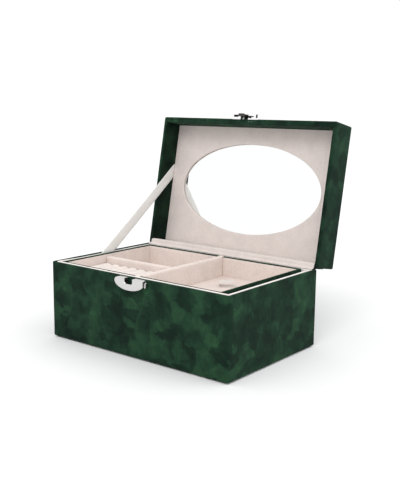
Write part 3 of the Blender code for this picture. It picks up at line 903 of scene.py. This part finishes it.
def make_catch():
    low, high = closed_box("catch_plate")
    hook_low, hook_high = closed_box("catch_hook")
    outline = moon_outline(low.z, high.z, low.z + CATCH_LIP)
    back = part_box("latch_back_plate")[1].y
    # the catch's plate takes the brighter chrome copy, a painted highlight
    body = plate("catch_half_moon", outline, low.y, back, LATCH_BEVEL, LIT_CATCH_CHROME)
    pockets = [
        (-0.0142, -0.0082, 0.0018, 0.0042),
        (0.0068, 0.0122, 0.0030, 0.0042),
        (0.0152, 0.0172, 0.0012, 0.0050),
    ]
    for x0, x1, start, end in pockets:  # along the flat edge, start and end counted from the front
        cut_box(body, (x0, low.y + start, low.z - 0.001), (x1, low.y + end, low.z + 0.0022))
    hollow = low.y + 0.0006, back - 0.0006
    cut_box(body, (hook_low.x, hollow[0], low.z + 0.0036), (hook_high.x, hollow[1], low.z + 0.0062))
    settle(open_lid(polish(body)), "lid", "chrome", "catch_plate")
    x0, x1 = hook_low.x, hook_high.x
    z0, z1 = hook_low.z, hook_high.z
    hook = [
        (x0 + 0.0012, z1), (x0, z1 - 0.0012), (x0, z0 + 0.0008), (x0 + 0.0008, z0), (x1 - 0.001, z0),
        (x1, z0 + 0.0009), (x1, z0 + 0.0013), (x1 - 0.0018, z0 + 0.0013), (x1 - 0.0018, low.z - 0.0003),
        (x1 - 0.001, low.z - 0.0003), (x1 - 0.001, z1 - 0.0012), (x1 - 0.0022, z1),
    ]
    # the hook takes the darkened chrome, a painted dark reflection
    tooth = plate("catch_tooth", hook, hook_low.y, hook_high.y, 0.0003, DARKENED_HOOK_CHROME)
    settle(open_lid(polish(tooth)), "lid", "chrome", "catch_hook")


# Tray
def make_tray_velvet():
    low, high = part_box("tray_velvet_wrap")
    z0, z1 = low.z, high.z
    r = SMALL_EDGE
    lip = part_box("tray_lining")[0].x - low.x - 0.0002
    profile = [(0.0058, z0), (0.002, z0)]
    profile += arc((r, z0 + r), r, 270, 180, 4)
    profile += [(0.0, z) for z in evenly(z0 + r, z1 - r, 8)[1:-1]]
    profile += arc((r, z1 - r), r, 180, 90, 4)
    profile += [(lip - 0.0003, z1), (lip, z1 - 0.0002), (lip, z1 - 0.0010), (lip, z1 - 0.0022)]
    cloth = swept("tray_velvet_cloth", low, high, profile, 0.0012, VELVET_CLOTH)
    ripple(cloth, 0.00008, (0.02, 0.02, 0.02), 7.3)
    thicken(cloth, SUEDE)
    settle(cloth, "tray", "green_velvet", "tray_velvet_wrap")


def make_tray_lining():
    low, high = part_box("tray_lining")
    high.z -= 0.0011  # the velvet turned over the rim shows above the lining
    for side in SIDES:
        wall = mitred_wall(f"tray_lining_{side}", side, low, high, SUEDE + 0.0002, 0.0001, LINING_CLOTH)
        settle(wall, "tray", "beige_suede", "tray_lining")


def make_long_divider():
    low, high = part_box("long_divider")
    high.z -= 0.0004
    low.z -= 0.0018  # its round foot lies below the cushions
    reach = Vector((0, 0.0005, 0))  # into the lining, so that no gap shows

    def shape(place, across):
        return place + Vector((0, 0, 0.0003 * (1 - across.y ** 6) if across.z > 0 else 0))

    bar = soft_box("long_divider_bar", low - reach, high + reach, 0.0021, 0.004, LINING_CLOTH, shape)
    ripple(bar, 0.00018, (0.012, 0.02, 0.012), 11.0)
    settle(bar, "tray", "beige_suede", "long_divider")
    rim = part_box("tray_velvet_wrap")
    for side, sign in (("front", -1), ("back", 1)):
        inner = abs(high.y) - 0.0024
        outer = abs(rim[0].y)
        top = rim[1].z
        points = side_view(
            (sign * inner, high.z - 0.0001), (sign * (inner + 0.0016), high.z + 0.0001),
            (sign * (outer - 0.0006), top + 0.0001), (sign * (outer + 0.0003), top - 0.0003),
            (sign * (outer + 0.00045), top - 0.0030), (sign * (outer + 0.00045), top - 0.0070),
        )
        path = smooth_path(points, 5)
        columns = evenly(low.x + 0.0002, high.x - 0.0002, 12)
        rows = [
            [Vector((x, p.y, p.z - 0.0005 * (x / high.x) ** 6)) for x in columns] for p in path
        ]
        tab = strip(f"divider_tab_{side}", rows, LINING_CLOTH, columns, lengths_along(path))
        ripple(tab, 0.00008, (0.004, 0.004, 0.004), 2.2 + sign)
        thicken(tab, SUEDE, 0.0)
        settle(tab, "tray", "beige_suede")


def make_cross_divider():
    low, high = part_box("cross_divider")
    low.z -= 0.0022  # its round foot lies below the cushion

    def shape(place, across):
        sag = 0.0003 * (1 - across.x ** 2)
        from_tuck = across.x + 0.955  # the cloth is tucked in near the left end
        fold = 0.0012 * math.exp(-(from_tuck / 0.02) ** 2)
        pinch = 1 - 0.35 * math.exp(-(from_tuck / 0.018) ** 2)
        y = (low.y + high.y) / 2 + (place.y - (low.y + high.y) / 2) * pinch
        return Vector((place.x, y, place.z - (fold + sag if across.z > 0 else 0)))

    bar = soft_box("cross_divider_bar", low, high, 0.0019, 0.0012, LINING_CLOTH, shape)
    ripple(bar, 0.00016, (0.014, 0.01, 0.01), 4.4)
    settle(bar, "tray", "beige_suede", "cross_divider")


def make_tray_cushions():
    for side in ("left", "right"):
        low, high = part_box(f"tray_pad_{side}")
        reach = Vector((0.0006, 0.0006, 0))  # under the lining and the divider
        pad = soft_box(
            f"tray_cushion_{side}", low - reach, high + reach, 0.00028, 0.004, LINING_CLOTH,
            crowned(0.0004),
        )
        ripple(pad, 0.00015, (0.02, 0.02, 0.02), 6.0 + len(side))
        settle(pad, "tray", "beige_suede", f"tray_pad_{side}")


def make_ring_cushions():
    """Foam rolls under suede, side by side, whose ends are tucked in round."""
    tuck = 0.0026
    count = sum(name.startswith("ring_roll_") for name in frame["nodes"])
    for i in range(1, count + 1):
        low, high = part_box(f"ring_roll_{i}")
        middle_x, middle_z = (low.x + high.x) / 2, (low.z + high.z) / 2
        half_x, half_z = (high.x - low.x) / 2 + 0.00015, (high.z - low.z) / 2
        rows = []
        for t in evenly(0, 1, 36):  # closer together towards the ends
            swing = 0.5 - 0.5 * math.cos(math.pi * t)
            y = low.y + (high.y - low.y) * (0.45 * t + 0.55 * swing)
            depth = min(y - low.y, high.y - y, tuck) / tuck
            round_end = 0.68 + 0.32 * math.sqrt(max(0.0, 1 - (1 - depth) ** 2))
            drop = half_z * (1 - round_end) * 0.35
            lean = 0.0002 * noise.noise(Vector((i * 3.7, y * 60, 0)))
            row = []
            for a in evenly(0, 2 * math.pi, 32)[:-1]:
                c, s = math.cos(a), math.sin(a)
                x = math.copysign(abs(c) ** 0.86, c) * half_x * (0.5 + 0.5 * round_end)
                z = math.copysign(abs(s) ** 0.92, s) * half_z * round_end
                row.append((middle_x + x + lean, y, middle_z + z - drop))
            rows.append(row)
        roll = loft(f"ring_cushion_{i}", rows, ROLL_CLOTH, caps=(True, True), flip=True, sharp=60)
        ripple(roll, 0.00022, (0.009, 0.012, 0.006), i * 1.9)
        settle(roll, "tray", "ring_foam", f"ring_roll_{i}")


def make_pull_ribbon():
    """A ribbon sewn to the floor by one end and folded back over itself in a round lobe."""
    low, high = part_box("pull_loop")
    centre = (low + high) / 2
    turn = math.radians(40)
    rise, width = high.z - low.z + 0.0004, 0.0078
    ground = low.z + 0.0003
    on_floor = [(0.0090, 0.0), (0.0040, 0.01), (-0.0020, 0.02), (-0.0060, 0.06)]
    folded = [
        (-0.0084, 0.36), (-0.0080, 0.78), (-0.0056, 1.0), (-0.0022, 0.92), (0.0018, 0.84), (0.0058, 0.95),
    ]
    path = smooth_path([Vector((x, 0, height * rise)) for x, height in on_floor + folded], 6)
    along = Vector((math.cos(turn), math.sin(turn), 0))
    side = Vector((-math.sin(turn), math.cos(turn), 0))
    across = evenly(-width / 2, width / 2, 8)
    rows = []
    for i, p in enumerate(path):
        over = eased((i / (len(path) - 1) - 0.3) / 0.35)
        lobe = math.exp(-((p.x + 0.0074) / 0.0026) ** 2)
        row = []
        for w in across:
            near = 0.5 - w / width
            drop = min(0.0016 * lobe * over * near + 0.0006 * over * near ** 2, 0.55 * p.z)
            place = centre + along * (p.x - 0.0006 * lobe * near) + side * (w - 0.0008 * over)
            row.append(Vector((place.x, place.y, ground + p.z - drop)))
        rows.append(row)
    ribbon = strip("pull_ribbon", rows, PULL_CLOTH, across, lengths_along(path))
    thicken(ribbon, SUEDE, 0.0)
    settle(ribbon, "tray", "satin_ribbon", "pull_loop")


# Lid
def make_lid_velvet():
    low, high = closed_box("lid_velvet_wrap")
    z0, z1 = low.z, high.z
    r = EDGE
    lip = closed_box("lid_inner_velvet")[0].x - low.x - 0.0002
    profile = [(lip, z0 + 0.0008), (lip - 0.0001, z0 + 0.0002), (lip - 0.0004, z0)]
    profile += arc((r, z0 + r), r, 270, 180, 5)
    profile += [(0.0, z) for z in evenly(z0 + r, z1 - r, 9)[1:-1]]
    profile += arc((r, z1 - r), r, 180, 90, 5)
    profile += [(inset, z1) for inset in evenly(0.004, 0.074, 18)]
    cloth = swept("lid_velvet_cloth", low, high, profile, EDGE + 0.0004, VELVET_CLOTH, caps=(False, True))
    ripple(cloth, VELVET_RIPPLE, VELVET_WAVES, 9.1)
    thicken(cloth, VELVET)
    settle(open_lid(cloth), "lid", "green_velvet", "lid_velvet_wrap")


def make_lid_lining():
    low, high = closed_box("lid_inner_velvet")
    r = 0.00035
    profile = [(0.0, low.z + 0.0010), (0.0, low.z + r)]
    profile += [(r - dx, z) for dx, z in arc((0, low.z + r), r, 0, -180, 4)[1:]]
    profile += [(2 * r, z) for z in evenly(low.z + r, high.z - 0.0004, 8)[1:]]
    profile = [(inset + 0.00005, z) for inset, z in profile]
    cloth = swept("lid_inner_cloth", low, high, profile, 0.0003, VELVET_CLOTH)
    cloth.data.materials.append(SHADED_VELVET)
    for face in cloth.data.polygons:  # painted shade on the left wall: a half-bright copy of the velvet
        if face.center.x < low.x + 0.002 and abs(face.normal.x) > 0.9:
            face.material_index = 1
    for vertex in cloth.data.vertices:  # a thicker wall on the catch's side
        inward = vertex.co.y - low.y
        if inward < 0.0012:
            vertex.co.y += 0.0018 * eased(inward / 0.0007)
    ripple(cloth, 0.00006, (0.02, 0.02, 0.02), 3.3)
    thicken(cloth, 0.0003)
    settle(open_lid(cloth), "lid", "green_velvet", "lid_inner_velvet")
    girth = girth_of(low, high)


def mat_oval():
    """Half-sizes of the mat's oval opening, from the CAD's mesh in the closed lid."""
    points = closed_points("mirror_mat")
    high = extent(points)[1]
    inside = [p for p in points if abs(p.x) < high.x - 0.002 and abs(p.y) < high.y - 0.002]
    return max(p.x for p in inside), max(p.y for p in inside)


def make_mat():
    """A suede-covered card with an oval window, whose edges are rolled over."""
    low, high = closed_box("mirror_mat")
    oval_x, oval_y = mat_oval()
    face, back = low.z, high.z
    r, steps = 0.0009, 256
    crease_x = high.x - 0.0158
    profile = [(0.0, back - 0.0001, "oval"), (0.0, face + r, "oval")]
    profile += [(r + dx, z, "oval") for dx, z in arc((0, face + r), r, 180, 270, 4)[1:]]
    profile += [(f, face, "share") for f in evenly(0, 1, 34)[1:-1]]
    profile += [(r - dx, z, "edge") for dx, z in arc((0, face + r), r, 270, 360, 4)]
    profile += [(0.0, back - 0.0001, "edge")]
    rings = []
    for distance, z, kind in profile:
        ring = []
        for i in range(steps):
            angle = 2 * math.pi * i / steps
            c, s = math.cos(angle), math.sin(angle)
            inner = Vector((oval_x * c, oval_y * s, 0))
            outer = Vector((high.x * c, high.y * s, 0)) / max(abs(c), abs(s))
            reach = (outer - inner).length
            near, far = r / reach, 1 - r / reach
            share = {"oval": distance / reach, "edge": 1 - distance / reach}.get(
                kind, near + (far - near) * distance
            )
            place = inner.lerp(outer, share)
            crease = 0.0005 * math.exp(-((place.x - crease_x) / 0.0007) ** 2)
            place.z = z + (crease if kind == "share" else 0)
            ring.append(place)
        rings.append(ring)
    card = loft("mat_card", rings, SUEDE_CLOTH, around=True, sharp=50)
    ripple(card, 0.00016, (0.03, 0.03, 0.02), 1.1)
    settle(open_lid(card), "lid", "beige_suede", "mirror_mat")


def finish_cad_nodes():
    """The CAD nodes that still show take their slot's material."""
    looks = {
        "board": BOARD, "chrome": CHROME, "spring_steel": SPRING, "mirror": GLASS, "felt": FELT,
        "green_velvet": VELVET_CLOTH, "beige_suede": SUEDE_CLOTH, "ring_foam": ROLL_CLOTH,
        "satin_ribbon": RIBBON_CLOTH,
    }
    for part in frame["record"]["subparts"]:
        mesh = frame["nodes"][part["node"]].data
        mesh.materials.clear()
        mesh.materials.append(looks[part["material_slot"]])


# Stage
def make_stage():
    size, z = 4.0, -0.0002
    points = [(-size, -size, z), (size, -size, z), (size, size, z), (-size, size, z)]
    material = new_material("studio_floor", (0.84, 0.84, 0.846), 0.0, roughness=0.9)[0]
    floor = add_mesh("studio_floor", points, [(0, 1, 2, 3)], material)

    world = bpy.data.worlds.new("studio")
    world.use_nodes = True
    background = world.node_tree.nodes["Background"]
    background.inputs["Color"].default_value = (1, 1, 1, 1)
    background.inputs["Strength"].default_value = WORLD_LIGHT
    scene = bpy.context.scene
    scene.world = world
    scene.view_settings.view_transform = "Standard"

    for name, energy, spread_angle, aim in (
        ("key", 0.85, 30, (-0.35, 0.9, -1.0)),
        ("fill", 0.45, 50, (-0.75, -0.35, -0.8)),
    ):
        light = bpy.data.lights.new(name, "SUN")
        light.energy = energy
        light.angle = math.radians(spread_angle)
        add_object(name, light).rotation_euler = Vector(aim).to_track_quat("-Z", "Y").to_euler()


def make_camera():
    camera = bpy.data.cameras.new("camera")
    camera.lens = CAMERA_LENS
    camera.sensor_width = 36
    camera.shift_x, camera.shift_y = CAMERA_SHIFT
    obj = add_object("camera", camera)
    ahead = Vector(CAMERA_TARGET) - Vector(CAMERA_PLACE)
    turn = ahead.to_track_quat("-Z", "Y").to_matrix() @ Matrix.Rotation(CAMERA_ROLL, 3, "Z")
    obj.location = CAMERA_PLACE
    obj.rotation_euler = turn.to_euler()
    bpy.context.scene.camera = obj


make_camera()
make_stage()
finish_cad_nodes()
make_base_velvet()
make_base_lining()
make_floor_cushion()
make_felt()
make_hinge_inner()
make_hinge_outer()
make_ribbon()
make_latch()
make_spring()
make_catch()
make_tray_velvet()
make_tray_lining()
make_long_divider()
make_cross_divider()
make_tray_cushions()
make_ring_cushions()
make_pull_ribbon()
make_lid_velvet()
make_lid_lining()
make_mat()
